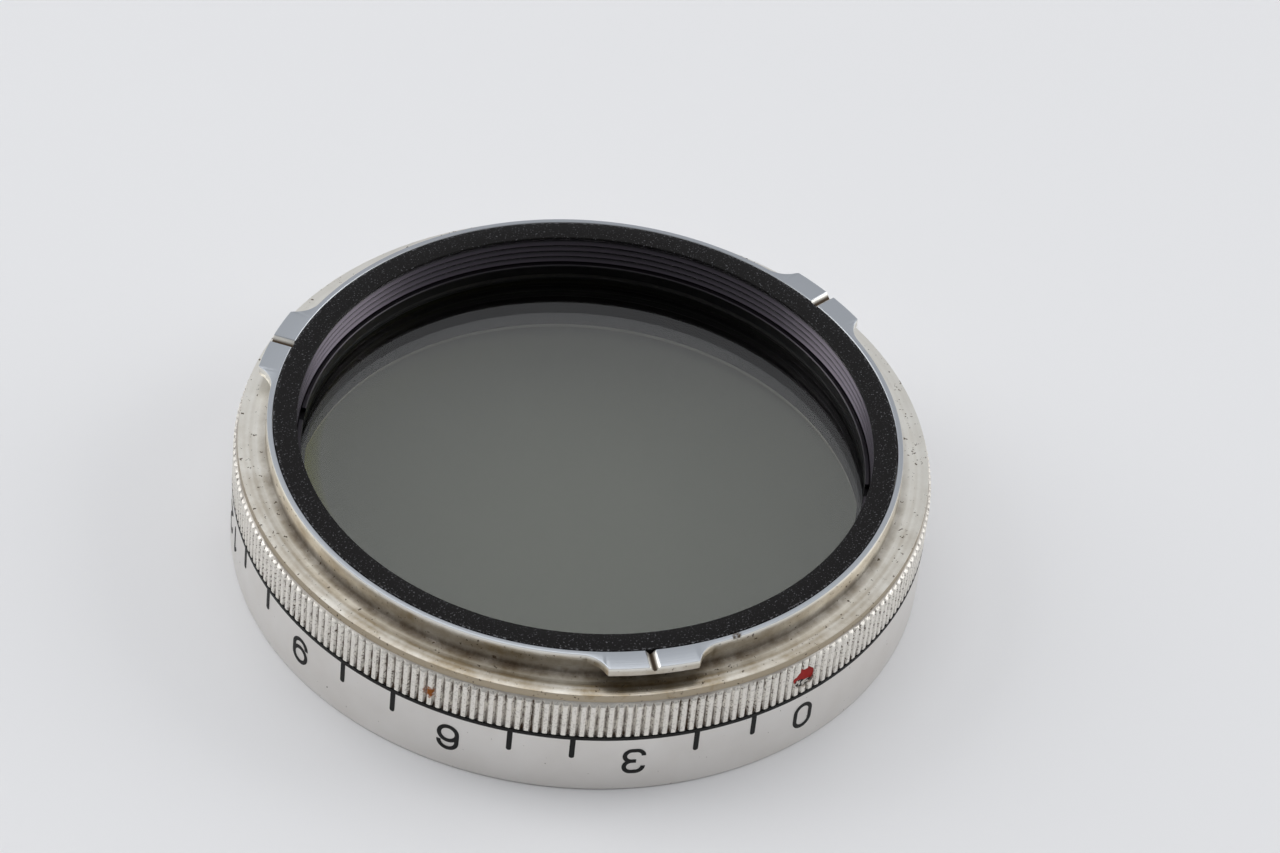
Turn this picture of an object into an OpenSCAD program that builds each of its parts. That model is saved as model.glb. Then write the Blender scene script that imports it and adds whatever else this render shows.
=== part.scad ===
// Rotating polarising filter with a three-lug bayonet, for a twin-lens camera.
// The optical axis is Z. The front face of the scale ring lies on Z = 0 and the
// bayonet points up. The index dot is at -Y. All sizes are in millimetres.

/* [Throat and cell] */
// Clear diameter of the cell's throat
throat_d = 38.7; // [30:0.1:60]
// Wall of the cell's tube
cell_wall = 0.8; // [0.6:0.05:2]
// Width of the black flange seen round the throat
cell_flange_w = 1.58; // [1.3:0.01:4]
// Thickness of the cell's flange
cell_flange_t = 0.7; // [0.4:0.05:1.5]
// Chamfer at the mouth of the throat
throat_chamfer = 0.12; // [0.05:0.01:0.3]
// Number of thread grooves down the throat
thread_turns = 4; // [0:1:4]
// Pitch of the throat thread
thread_pitch = 0.5; // [0.3:0.05:0.5]
// Depth of the throat thread
thread_depth = 0.2; // [0.05:0.01:0.3]

/* [Bayonet] */
// Wall of the collar where the cell's flange sits in it
collar_lip = 0.37; // [0.3:0.01:1.5]
// Height of the collar above the mount flange
collar_h = 1.75; // [1.6:0.05:4]
// How far the lugs stand out from the collar
lug_reach = 1.19; // [0.6:0.01:2]
// Thickness of a lug along the axis
lug_t = 0.7; // [0.5:0.05:1.4]
// Number of lugs
lug_count = 3; // [2:1:4]
// Angle that the tip of a lug covers
lug_arc = 15.5; // [8:0.1:30]
// Radius of the milled corner on each side of a lug
lug_corner = 2; // [1.3:0.05:4]
// Angle from the index dot to the next lug, clockwise from above
lug_lead = 26.9; // [0:0.1:60]
// Width of the sighting notch in a lug
notch_w = 0.75; // [0.3:0.05:1.2]
// Depth of the sighting notch in a lug
notch_depth = 0.4; // [0.1:0.05:0.5]

/* [Mount flange and grip] */
// Width of the flat flange outside the collar
flange_w = 1.91; // [1.5:0.01:5]
// Height of the plain edge under the flange
flange_edge_h = 0.59; // [0.3:0.01:1.5]
// Chamfer from the plain edge down to the grip
grip_chamfer = 0.24; // [0.1:0.01:0.6]
// Height of the knurled grip
grip_h = 2.76; // [1.5:0.01:6]
// Pitch of the straight knurl
knurl_pitch = 0.6; // [0.4:0.05:1.2]
// Depth of the straight knurl
knurl_depth = 0.18; // [0.05:0.01:0.3]
// Diameter of the index dot
dot_d = 1.7; // [0.8:0.1:2]
// Depth of the index dot's recess
dot_depth = 0.6; // [0.3:0.05:1]

/* [Scale ring] */
// Height of the scale ring
scale_ring_h = 4.9; // [4.4:0.1:9]
// Chamfer on the scale ring's front outer edge
front_edge_chamfer = 0.15; // [0.05:0.05:0.5]
// Width of the flat front rim
front_rim_w = 2.2; // [1:0.1:3]
// Height of the lip that the cell stands on
front_lip_h = 1.2; // [0.8:0.1:2]
// Overhang of the lip inside the cell's outer wall
front_lip_w = 0.8; // [0.4:0.1:1.5]

/* [Scale] */
// Number of scale units in a turn
units = 36; // [12:3:36]
// Last unit on the scale, which starts at 0
last_unit = 18; // [6:3:33]
// Units from one numeral to the next
numeral_step = 3; // [3:1:6]
// Angle by which the scale stands off the index dot at rest
zero_offset = 0.7; // [-4:0.1:4]
// Depth of the engraving
engrave_depth = 0.12; // [0.05:0.01:0.2]
// Width of the black line at the top of the scale
line_w = 0.27; // [0.15:0.01:0.6]
// Length of a tick
tick_len = 1.67; // [0.5:0.01:2]
// Width of a tick
tick_w = 0.36; // [0.2:0.01:0.45]
// Width of the stroke of a numeral
stroke = 0.3; // [0.2:0.01:0.45]
// Height of a numeral
numeral_h = 2.25; // [1.6:0.05:2.5]
// Width of a numeral
numeral_w = 1.55; // [1.3:0.05:1.8]
// Space between the line and the foot of a numeral
numeral_gap = 0.85; // [0.1:0.05:1]

/* [Glass] */
// Depth of the glass below the rear face
glass_depth = 3.05; // [3:0.05:4.5]
// Thickness of each glass
glass_t = 1.0; // [0.8:0.05:1.5]
// Thickness of the polarising film
film_t = 0.1; // [0.05:0.05:0.3]
// How far the film ends inside the glass
film_inset = 0.2; // [0.1:0.05:0.25]
// Width of the seat under the glass
seat_w = 0.55; // [0.3:0.05:1.5]
// Thickness of the seat under the glass
seat_t = 0.5; // [0.3:0.05:1]
// Height of the retaining ring
retainer_h = 0.8; // [0.4:0.1:1]
// Radial width of the retaining ring
retainer_w = 0.35; // [0.3:0.05:2]
// Width of the two spanner slots
spanner_w = 1.2; // [0.6:0.1:2]
// Angle from the index dot to a spanner slot
spanner_lead = 45; // [0:1:90]

/* [Fits] */
// Radial clearance where the cell turns in the bayonet ring
run_fit = 0.05; // [0.03:0.01:0.1]
// Axial clearance on each side of the bayonet ring
end_fit = 0.06; // [0.03:0.01:0.1]
// Radial clearance of the glass in its pocket
glass_fit = 0.05; // [0.02:0.01:0.1]
// Radial clearance for passing the glass down the throat
drop_fit = 0.1; // [0.05:0.01:0.2]
// Radial width of the friction spring
spring_w = 0.8; // [0.5:0.1:1.5]
// Height of the friction spring
spring_h = 0.4; // [0.2:0.05:0.8]
// Angle of the gap between the friction spring's ends
spring_split = 8; // [4:1:30]

/* [Hidden] */
$fn = 96;
fine = 360;          // sides drawn on a thin ring of large radius
cut = 1;             // how far a cutting shape runs past the face it cuts
index_angle = -90;
seam_angle = index_angle + 180 / units;   // turned shapes start and end here, clear of all marks

// Radii, from the throat outwards
throat_r = throat_d / 2;
thread_r = throat_r + thread_depth;
tube_r = throat_r + cell_wall;
bore_r = tube_r + run_fit;
cell_flange_r = throat_r + cell_flange_w;
counterbore_r = cell_flange_r + run_fit;
collar_r = counterbore_r + collar_lip;
lug_r = collar_r + lug_reach;
flange_r = collar_r + flange_w;
outer_r = flange_r + grip_chamfer;
valley_r = outer_r - knurl_depth;
core_r = valley_r - knurl_depth;
tooth_rise = 0.02;   // how far the teeth stand past the chamfer above them
engrave_r = outer_r - engrave_depth;

// Radii, from the throat inwards
glass_r = throat_r - drop_fit;
pocket_r = glass_r + glass_fit;
seat_r = glass_r - seat_w;
film_r = glass_r - film_inset;
retainer_r = throat_r - retainer_w;

// Heights, from the front face up
cell_z = front_lip_h;
grip_z = scale_ring_h + end_fit;
grip_top_z = grip_z + grip_h;
edge_z = grip_top_z + grip_chamfer;
flange_z = edge_z + flange_edge_h;
total_h = flange_z + collar_h;
retainer_z = total_h - glass_depth;
rear_glass_z = retainer_z - glass_t;
film_z = rear_glass_z - film_t;
glass_z = film_z - glass_t;
seat_z = glass_z - seat_t;
pocket_top_z = retainer_z - glass_fit;
cell_flange_z = total_h - cell_flange_t;
counterbore_z = cell_flange_z - end_fit;

// Knurl, scale and spring
teeth = round(2 * PI * outer_r / knurl_pitch);
line_z = scale_ring_h - line_w;
tick_z = line_z - tick_len;
numeral_z = line_z - numeral_gap - numeral_h / 2;
numeral_pair = numeral_w + 0.45;       // from one digit to the next in a two-digit number
dot_z = grip_z + grip_h / 2;
spring_r = (bore_r + valley_r) / 2;    // middle of the spring's band
spring_groove_h = spring_h - end_fit / 2;

function polar(r, a) = [r * cos(a), r * sin(a)];
function lug_angle(i) = index_angle - lug_lead + i * 360 / lug_count;
function unit_angle(k) = index_angle + zero_offset - k * 360 / units;

// A turned shape from its half section
module turned() {
    rotate([0, 0, seam_angle]) rotate_extrude() children();
}

// A flat washer from r0 to r1, standing on z
module washer(r0, r1, z, h) {
    rotate([0, 0, seam_angle])
        translate([0, 0, z])
            difference() {
                cylinder(r = r1, h = h, $fn = fine);
                translate([0, 0, -cut]) cylinder(r = r0, h = h + 2 * cut, $fn = fine);
            }
}

// A two-dimensional shape set on the outside of the ring and cut through radially
module on_rim(angle, z) {
    rotate([0, 0, angle])
        translate([outer_r - cut, 0, z])
            rotate([90, 0, 90])
                linear_extrude(2 * cut) children();
}

// ---- Digits, drawn with strokes of one width inside numeral_w by numeral_h ----

digit_r = numeral_w / 2;
digit_y = numeral_h / 2;

// A ring of one stroke's width
module bowl(r) {
    difference() {
        circle(r = r);
        circle(r = r - stroke);
    }
}

// Half a bowl, on the side that the direction gives
module half_bowl(r, side) {
    difference() {
        bowl(r);
        rotate(atan2(side[1], side[0]))
            translate([-2 * r, -1.01 * r]) square([2 * r, 2.02 * r]);
    }
}

// A straight stroke between two points, with round or square ends
module bar(p, q, round_ends = true) {
    length = norm(q - p);
    translate(p)
        rotate(atan2(q[1] - p[1], q[0] - p[0]))
            translate([0, -stroke / 2]) square([length, stroke]);
    if (round_ends)
        for (end = [p, q]) translate(end) circle(r = stroke / 2);
}

module digit_0() {
    difference() {
        union() {
            for (s = [-1, 1]) translate([0, s * (digit_y - digit_r)]) circle(r = digit_r);
            square([2 * digit_r, 2 * (digit_y - digit_r)], center = true);
        }
        for (s = [-1, 1]) translate([0, s * (digit_y - digit_r)]) circle(r = digit_r - stroke);
        square([2 * (digit_r - stroke), 2 * (digit_y - digit_r)], center = true);
    }
}

module digit_1() {
    half = digit_y - stroke / 2;
    bar([0, -half], [0, half]);
    bar([0, half], [-digit_r / 2, half - digit_r / 2]);
}

module digit_2() {
    reach = digit_r - stroke / 2;
    half = digit_y - stroke / 2;
    shoulder = [reach * cos(50), digit_y - digit_r - reach * sin(50)];
    translate([0, digit_y - digit_r])
        difference() {
            bowl(digit_r);
            polygon([[0, 0], [-2 * digit_r, 0], [-2 * digit_r, -2 * digit_r], polar(4 * digit_r, -50)]);
        }
    bar(shoulder, [-reach, -half], false);
    bar([-reach, -half], [reach, -half]);
}

module digit_3() {
    r = (numeral_h + stroke) / 4;
    shift = digit_r - r;
    for (s = [-1, 1]) {
        translate([shift, s * (digit_y - r)]) half_bowl(r, [1, 0]);
        translate([-shift, s * (digit_y - r)])
            difference() {
                half_bowl(r, [0, s]);
                translate([r, 0]) square(2 * r, center = true);
            }
        translate([0, s * (digit_y - stroke / 2)]) square([2 * shift + 0.02, stroke], center = true);
    }
    translate([-stroke / 2, -stroke / 2]) square([stroke / 2 + shift + 0.01, stroke]);
}

module digit_4() {
    reach = digit_r - stroke / 2;
    half = digit_y - stroke / 2;
    bar([reach / 2, -half], [reach / 2, half]);
    bar([reach / 2, half], [-reach, -half / 2]);
    bar([-reach, -half / 2], [reach, -half / 2]);
}

module digit_5() {
    reach = digit_r - stroke / 2;
    half = digit_y - stroke / 2;
    shoulder = [-reach * cos(50), digit_r - digit_y + reach * sin(50)];
    translate([0, digit_r - digit_y])
        difference() {
            bowl(digit_r);
            polygon([[0, 0], polar(4 * digit_r, 130), polar(4 * digit_r, 165), polar(4 * digit_r, 205)]);
        }
    bar(shoulder, [-reach, half], false);
    bar([-reach, half], [reach, half]);
}

module digit_6() {
    translate([0, digit_r - digit_y]) bowl(digit_r);
    translate([0, digit_y - digit_r]) half_bowl(digit_r, [0, 1]);
    translate([-digit_r, digit_r - digit_y]) square([stroke, 2 * (digit_y - digit_r) + 0.01]);
}

module digit_7() {
    reach = digit_r - stroke / 2;
    half = digit_y - stroke / 2;
    bar([-reach, half], [reach, half]);
    bar([reach, half], [-reach / 3, -half]);
}

module digit_8() {
    r = (numeral_h + stroke) / 4;
    for (s = [-1, 1]) translate([0, s * (digit_y - r)]) bowl(r);
}

module digit(d) {
    if (d == 0) digit_0();
    if (d == 1) digit_1();
    if (d == 2) digit_2();
    if (d == 3) digit_3();
    if (d == 4) digit_4();
    if (d == 5) digit_5();
    if (d == 6) digit_6();
    if (d == 7) digit_7();
    if (d == 8) digit_8();
    if (d == 9) rotate(180) digit_6();
}

// A number of one or two digits, centred
module number(n) {
    if (n < 10) digit(n);
    if (n >= 10) {
        translate([-numeral_pair / 2, 0]) digit(floor(n / 10));
        translate([numeral_pair / 2, 0]) digit(n % 10);
    }
}

// ---- Scale marks, each between the radii r0 and r1 ----

// The feet of the numerals point at the bayonet
module numeral_marks(r0, r1) {
    intersection() {
        washer(r0, r1, 0, scale_ring_h);
        union()
            for (k = [0 : numeral_step : last_unit])
                on_rim(unit_angle(k), numeral_z) rotate(180) number(k);
    }
}

// A tick has a round end, and there is none where a numeral stands
module tick_marks(r0, r1) {
    intersection() {
        washer(r0, r1, 0, line_z);
        union()
            for (k = [0 : last_unit])
                if (k % numeral_step != 0)
                    on_rim(unit_angle(k), tick_z) {
                        translate([-tick_w / 2, tick_w / 2]) square([tick_w, tick_len + cut]);
                        translate([0, tick_w / 2]) circle(r = tick_w / 2);
                    }
    }
}

// ---- Pieces that are fixed to the lens ----

// One lug with its two milled corners, seen from above. A corner's circle touches the
// collar and passes through the end of the lug's tip.
module lug_outline(angle) {
    centre = collar_r + lug_corner;
    turn = lug_arc / 2
           + acos((centre * centre + lug_r * lug_r - lug_corner * lug_corner) / (2 * centre * lug_r));
    spare = lug_corner / collar_r * 180 / PI;
    rotate(angle)
        difference() {
            intersection() {
                circle(r = lug_r);
                polygon([[0, 0],
                         polar(2 * lug_r, -turn - spare),
                         polar(2 * lug_r, turn + spare)]);
            }
            circle(r = collar_r - collar_lip / 2);
            for (s = [-1, 1])
                rotate(s * turn) {
                    translate([centre, 0]) circle(r = lug_corner);
                    polygon([[collar_r, 0],
                             polar(collar_r, s * 2 * spare),
                             polar(2 * lug_r, s * 2 * spare),
                             [2 * lug_r, 0]]);
                }
        }
}

// The sighting notch is a V that runs out radially
module lug_notch(angle) {
    rotate([0, 0, angle])
        translate([counterbore_r - cut, 0, total_h])
            rotate([90, 0, 90])
                linear_extrude(lug_r - counterbore_r + 2 * cut)
                    polygon([[0, -notch_depth],
                             [notch_w, notch_depth],
                             [-notch_w, notch_depth]]);
}

// The knurled band, seen from above
module knurl_outline() {
    step = 360 / teeth;
    difference() {
        polygon([for (i = [0 : teeth - 1])
                 for (p = [[valley_r, 0], [outer_r, 0.3], [outer_r, 0.7]])
                 polar(p[0], index_angle + (i + p[1]) * step)]);
        circle(r = core_r - knurl_depth);
    }
}

// The turned body of the bayonet ring, without its grip and lugs
module collar_and_flange() {
    edge = 0.08;
    turned()
        polygon([[bore_r, grip_z],
                 [core_r, grip_z],
                 [core_r, grip_top_z],
                 [outer_r - tooth_rise, grip_top_z],
                 [flange_r, edge_z],
                 [flange_r, flange_z - edge],
                 [flange_r - edge, flange_z],
                 [collar_r, flange_z],
                 [collar_r, total_h - edge],
                 [collar_r - edge, total_h],
                 [counterbore_r, total_h],
                 [counterbore_r, counterbore_z],
                 [bore_r, counterbore_z]]);
}

// Cuts the sighting notches in whatever it is given
module notched() {
    difference() {
        children();
        for (i = [0 : lug_count - 1]) lug_notch(lug_angle(i));
    }
}

module bayonet_ring() {
    color("gainsboro")
        difference() {
            union() {
                notched() collar_and_flange();
                notched()
                    for (i = [0 : lug_count - 1])
                        translate([0, 0, total_h - lug_t]) linear_extrude(lug_t) lug_outline(lug_angle(i));
                translate([0, 0, grip_z]) linear_extrude(grip_h) knurl_outline();
            }
            washer(spring_r - spring_w / 2, spring_r + spring_w / 2, grip_z - cut, spring_groove_h + cut);
            rotate([0, 0, index_angle])
                translate([outer_r - dot_depth, 0, dot_z])
                    rotate([0, 90, 0]) cylinder(d = dot_d, h = dot_depth + cut);
        }
}

// Enamel that fills the recess in the grip
module index_dot() {
    color("firebrick")
        rotate([0, 0, index_angle])
            translate([outer_r - dot_depth, 0, dot_z])
                rotate([0, 90, 0]) cylinder(d = dot_d, h = dot_depth - knurl_depth);
}

// A split ring in a groove under the grip, which bears on the scale ring
module friction_spring() {
    color("goldenrod")
        difference() {
            washer(spring_r - spring_w / 2, spring_r + spring_w / 2,
                   grip_z + spring_groove_h - spring_h, spring_h);
            translate([0, 0, grip_z - cut])
                linear_extrude(spring_h + 2 * cut)
                    polygon([[0, 0],
                             polar(2 * outer_r, 90 - spring_split / 2),
                             polar(2 * outer_r, 90 + spring_split / 2)]);
        }
}

// ---- Pieces that turn ----

// The black tube, with its flange at the rear, its thread, and the seat for the glass
module filter_cell() {
    edge = 0.06;
    thread_top = total_h - 2 * throat_chamfer;
    color("dimgray")
        difference() {
            turned()
                polygon([[throat_r, cell_z],
                         [tube_r, cell_z],
                         [tube_r, cell_flange_z],
                         [cell_flange_r, cell_flange_z],
                         [cell_flange_r, total_h - edge],
                         [cell_flange_r - edge, total_h],
                         [throat_r + throat_chamfer, total_h],
                         [throat_r, total_h - throat_chamfer],
                         [throat_r, pocket_top_z],
                         [pocket_r, pocket_top_z],
                         [pocket_r, glass_z],
                         [seat_r, glass_z],
                         [seat_r, seat_z],
                         [throat_r, seat_z]]);
            for (i = [0 : thread_turns - 1])
                turned()
                    polygon([[throat_r - cut / 2, thread_top - i * thread_pitch],
                             [throat_r, thread_top - i * thread_pitch],
                             [thread_r, thread_top - (i + 0.5) * thread_pitch],
                             [throat_r, thread_top - (i + 1) * thread_pitch + edge],
                             [throat_r - cut / 2, thread_top - (i + 1) * thread_pitch + edge]]);
        }
}

// The front ring screws on the cell and carries the scale
module scale_ring() {
    lip_r = tube_r - front_lip_w;
    bevel_r = outer_r - front_rim_w;
    color("silver")
        difference() {
            turned()
                polygon([[bevel_r, 0],
                         [outer_r - front_edge_chamfer, 0],
                         [outer_r, front_edge_chamfer],
                         [outer_r, line_z],
                         [engrave_r, line_z],
                         [engrave_r, scale_ring_h],
                         [tube_r, scale_ring_h],
                         [tube_r, cell_z],
                         [lip_r, cell_z],
                         [lip_r, cell_z * 0.8]]);
            tick_marks(engrave_r, outer_r + cut / 2);
            numeral_marks(engrave_r, outer_r + cut / 2);
        }
}

// Black enamel fills the line, the ticks and the numerals
module scale_line() {
    color("black") washer(engrave_r, outer_r, line_z, line_w);
}

module scale_ticks() {
    color("black") tick_marks(engrave_r, outer_r);
}

module scale_numerals() {
    color("black") numeral_marks(engrave_r, outer_r);
}

// The threaded ring that holds the glass down, with two slots for a spanner
module retaining_ring() {
    color("black")
        difference() {
            washer(retainer_r, throat_r, retainer_z, retainer_h);
            rotate([0, 0, index_angle + spanner_lead])
                translate([-2 * throat_r, -spanner_w / 2, retainer_z + retainer_h / 2])
                    cube([4 * throat_r, spanner_w, retainer_h]);
        }
}

module rear_glass() {
    color("slategray", 0.5) translate([0, 0, rear_glass_z]) cylinder(r = glass_r, h = glass_t);
}

module polarising_film() {
    color("darkslategray", 0.6) translate([0, 0, film_z]) cylinder(r = film_r, h = film_t);
}

module front_glass() {
    color("slategray", 0.5) translate([0, 0, glass_z]) cylinder(r = glass_r, h = glass_t);
}

bayonet_ring();
index_dot();
friction_spring();
filter_cell();
scale_ring();
scale_line();
scale_ticks();
scale_numerals();
retaining_ring();
rear_glass();
polarising_film();
front_glass();
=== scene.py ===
import math

import bmesh
import bpy
from mathutils import Matrix, Vector


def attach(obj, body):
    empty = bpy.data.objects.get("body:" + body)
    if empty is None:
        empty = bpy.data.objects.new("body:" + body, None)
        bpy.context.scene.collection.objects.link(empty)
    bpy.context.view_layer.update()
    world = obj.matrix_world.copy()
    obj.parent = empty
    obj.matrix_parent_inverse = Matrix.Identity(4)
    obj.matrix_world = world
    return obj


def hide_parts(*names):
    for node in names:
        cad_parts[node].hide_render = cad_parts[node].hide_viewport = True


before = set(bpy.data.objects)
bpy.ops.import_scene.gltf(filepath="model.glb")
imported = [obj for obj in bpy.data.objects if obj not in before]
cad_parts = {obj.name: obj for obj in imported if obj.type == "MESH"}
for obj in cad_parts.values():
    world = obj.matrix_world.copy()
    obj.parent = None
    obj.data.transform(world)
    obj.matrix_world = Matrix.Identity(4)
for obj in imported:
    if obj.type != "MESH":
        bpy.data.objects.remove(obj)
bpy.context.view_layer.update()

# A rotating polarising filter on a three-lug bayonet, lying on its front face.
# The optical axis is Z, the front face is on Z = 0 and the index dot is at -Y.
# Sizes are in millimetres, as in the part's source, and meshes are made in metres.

MM = 0.001

# ---- Sizes that repeat the part's source ----
THROAT_R = 19.35
TUBE_R = 20.15
BORE_R = 20.2
CELL_FLANGE_R = 20.93
COUNTERBORE_R = 20.98
COLLAR_R = 21.35
LUG_R = 22.54
FLANGE_R = 23.26
OUTER_R = 23.5
VALLEY_R = 23.32
RING_TOP = 4.9
GRIP_Z = 4.96
EDGE_Z = 7.96
FLANGE_Z = 8.55
TOP = 10.3
LUG_T = 0.7
LUG_HALF = 7.75
LUG_CORNER = 2.0
LUG_ANGLES = (-116.9, 3.1, 123.1)
NOTCH_W = 0.75
NOTCH_DEPTH = 0.4
COUNTERBORE_Z = 9.54
CELL_FLANGE_Z = 9.6
CELL_Z = 1.2
THREAD_TOP = TOP - 0.24
THREAD_TURNS = 4
THREAD_PITCH = 0.5
THREAD_DEPTH = 0.2
SEAT_BASE = 4.65
SEAT_Z = 5.15
FILM_Z = 6.15
REAR_GLASS_Z = 6.25
RETAINER_Z = 7.25
RETAINER_H = 0.8
GLASS_R = 19.25
POCKET_R = 19.3
SEAT_R = 18.7
FILM_R = 19.05
RETAINER_R = 19.0
SPANNER_W = 1.2
SPANNER_LEAD = 45
SPRING_R = (BORE_R + VALLEY_R) / 2
SPRING_W = 0.8
SPRING_H = 0.4
SPRING_GROOVE_H = 0.37
SPRING_SPLIT = 8
TEETH = 246
DOT_D = 1.7
DOT_Z = GRIP_Z + 1.38
DOT_FLOOR_R = 22.9
INDEX_ANGLE = -90
LINE_Z = 4.63
ENGRAVE_R = 23.38
SKIN_R = OUTER_R - 0.02  # the bare metal of the scale ring stands a little under the enamel
FRONT_RIM_W = 2.2
LIP_R = TUBE_R - 0.8
FULL_TURN = 384          # columns in a turned shape


# ---- Small tools ----

def linear(code):
    """The linear colour of an sRGB hex code."""
    parts = [int(code[i:i + 2], 16) / 255 for i in (1, 3, 5)]
    return tuple(c / 12.92 if c <= 0.04045 else ((c + 0.055) / 1.055) ** 2.4 for c in parts) + (1.0,)


def add(tree, kind, inputs=None, **settings):
    """Adds a node with its settings, and links or sets its inputs."""
    made = tree.nodes.new(kind)
    for name, value in settings.items():
        setattr(made, name, value)
    for name, value in (inputs or {}).items():
        if isinstance(name, str):
            socket = next(s for s in made.inputs if s.enabled and s.name == name)
        else:
            socket = made.inputs[name]
        if isinstance(value, bpy.types.Node):
            value = next(o for o in value.outputs if o.enabled)
        if isinstance(value, bpy.types.NodeSocket):
            tree.links.new(value, socket)
        else:
            socket.default_value = value
    return made


def mesh_piece(name, points, faces, material, sharp=32):
    """A piece from points in millimetres, with merged doubles and outward faces."""
    bm = bmesh.new()
    verts = [bm.verts.new((x * MM, y * MM, z * MM)) for x, y, z in points]
    for face in faces:
        bm.faces.new([verts[i] for i in face])
    bmesh.ops.remove_doubles(bm, verts=bm.verts, dist=1e-7)
    bmesh.ops.dissolve_degenerate(bm, edges=bm.edges, dist=1e-7)
    bmesh.ops.recalc_face_normals(bm, faces=bm.faces)
    mesh = bpy.data.meshes.new(name)
    bm.to_mesh(mesh)
    bm.free()
    mesh.shade_smooth()
    mesh.set_sharp_from_angle(angle=math.radians(sharp))
    mesh.materials.append(material)
    made = bpy.data.objects.new(name, mesh)
    bpy.context.scene.collection.objects.link(made)
    return made


def rounded(corners, radius, steps=3):
    """A closed half section (r, z) with its corners rounded. A third number is a corner's own radius."""
    out = []
    for i, corner in enumerate(corners):
        here = Vector(corner[:2])
        before = Vector(corners[i - 1][:2]) - here
        after = Vector(corners[(i + 1) % len(corners)][:2]) - here
        size = corner[2] if len(corner) > 2 else radius
        half = before.angle(after) / 2
        reach = min(size / math.tan(half), 0.45 * before.length, 0.45 * after.length) if size else 0
        if reach < 1e-4:
            out.append((here.x, here.y))
            continue
        start = here + before.normalized() * reach
        end = here + after.normalized() * reach
        for k in range(steps + 1):
            t = k / steps
            p = start * (1 - t) ** 2 + here * 2 * t * (1 - t) + end * t ** 2
            out.append((p.x, p.y))
    return out


def swept(name, columns, material, sharp=32, closed=True):
    """A turned shape. Each column is (direction, offset, section): the section's points (r, z)
    are set at that direction in degrees, and offset to its left in millimetres."""
    points = []
    count = len(columns[0][2])
    for direction, offset, section in columns:
        for r, z in section:
            angle = math.radians(direction) + math.asin(offset / r)
            points.append((r * math.cos(angle), r * math.sin(angle), z))
    faces = []
    turns = len(columns) if closed else len(columns) - 1
    for i in range(turns):
        a, b = i * count, (i + 1) % len(columns) * count
        for k in range(count):
            m = (k + 1) % count
            faces.append((a + k, b + k, b + m, a + m))
    if not closed:
        faces.append(tuple(range(count)))
        faces.append(tuple(range(a + count, a + 2 * count)))
    return mesh_piece(name, points, faces, material, sharp)


def lathe(name, section, material, columns=FULL_TURN, sharp=32):
    return swept(name, [(i * 360 / columns, 0, section) for i in range(columns)], material, sharp)


def disc(name, radius, z0, z1, edge, material, columns=256):
    """A flat round plate with small chamfers."""
    rings = [(radius - edge, z0), (radius, z0 + edge), (radius, z1 - edge), (radius - edge, z1)]
    points = [(r * math.cos(a), r * math.sin(a), z)
              for r, z in rings for a in [2 * math.pi * i / columns for i in range(columns)]]
    faces = [(j * columns + i, j * columns + (i + 1) % columns,
              (j + 1) * columns + (i + 1) % columns, (j + 1) * columns + i)
             for j in range(3) for i in range(columns)]
    faces.append(tuple(range(columns)))
    faces.append(tuple(range(3 * columns, 4 * columns)))
    return mesh_piece(name, points, faces, material)


# ---- Materials ----

def new_material(name):
    material = bpy.data.materials.new(name)
    material.use_nodes = True
    tree = material.node_tree
    tree.nodes.clear()
    return material, tree


def put_out(tree, shader):
    add(tree, "ShaderNodeOutputMaterial", {"Surface": shader})


def place(tree):
    """A place on the part in millimetres, its radius from the axis and its height."""
    coords = add(tree, "ShaderNodeTexCoord").outputs["Object"]
    mm = add(tree, "ShaderNodeVectorMath", {0: coords, 1: (1000, 1000, 1000)}, operation="MULTIPLY")
    xyz = add(tree, "ShaderNodeSeparateXYZ", {0: mm.outputs[0]})
    flat = add(tree, "ShaderNodeCombineXYZ", {0: xyz.outputs[0], 1: xyz.outputs[1]})
    radius = add(tree, "ShaderNodeVectorMath", {0: flat}, operation="LENGTH").outputs["Value"]
    return mm.outputs[0], radius, xyz.outputs[2]


def turning_lines(tree, at, pitch):
    """Fine lines left by a turning tool, all round the axis."""
    _, radius, height = at
    across = add(tree, "ShaderNodeMath", {0: radius, 1: height}, operation="ADD")
    line = add(tree, "ShaderNodeTexNoise", {"W": across, "Scale": 1 / pitch, "Detail": 3.0},
               noise_dimensions="1D")
    return line.outputs[0]


def specks(tree, mm, spacing, share, seed=0):
    """A mask of small irregular specks: spacing in millimetres, and the share that they cover."""
    moved = add(tree, "ShaderNodeVectorMath", {0: mm, 1: (seed * 7.1, seed * 3.3, seed * 5.7)}, operation="ADD")
    cloud = add(tree, "ShaderNodeTexNoise",
                {"Vector": moved, "Scale": 1 / spacing, "Detail": 2.0, "Roughness": 0.6})
    return add(tree, "ShaderNodeMapRange",
               {0: cloud, 1: 1 - share - 0.03, 2: 1 - share + 0.03, 3: 0.0, 4: 1.0}).outputs[0]


def blob(tree, mm, direction, radius, height, size):
    """A ragged spot on the ring: 1 in its middle, 0 outside its size in millimetres."""
    turn = math.radians(direction)
    centre = (radius * math.cos(turn), radius * math.sin(turn), height)
    apart = add(tree, "ShaderNodeVectorMath", {0: mm, 1: centre}, operation="DISTANCE").outputs["Value"]
    ragged = add(tree, "ShaderNodeTexNoise", {"Vector": mm, "Scale": 3.0, "Detail": 3.0})
    apart = add(tree, "ShaderNodeMath", {0: apart, 1: ragged}, operation="ADD")
    return add(tree, "ShaderNodeMapRange",
               {0: apart, 1: size + 0.4, 2: size + 0.6, 3: 1.0, 4: 0.0}).outputs[0]


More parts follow.
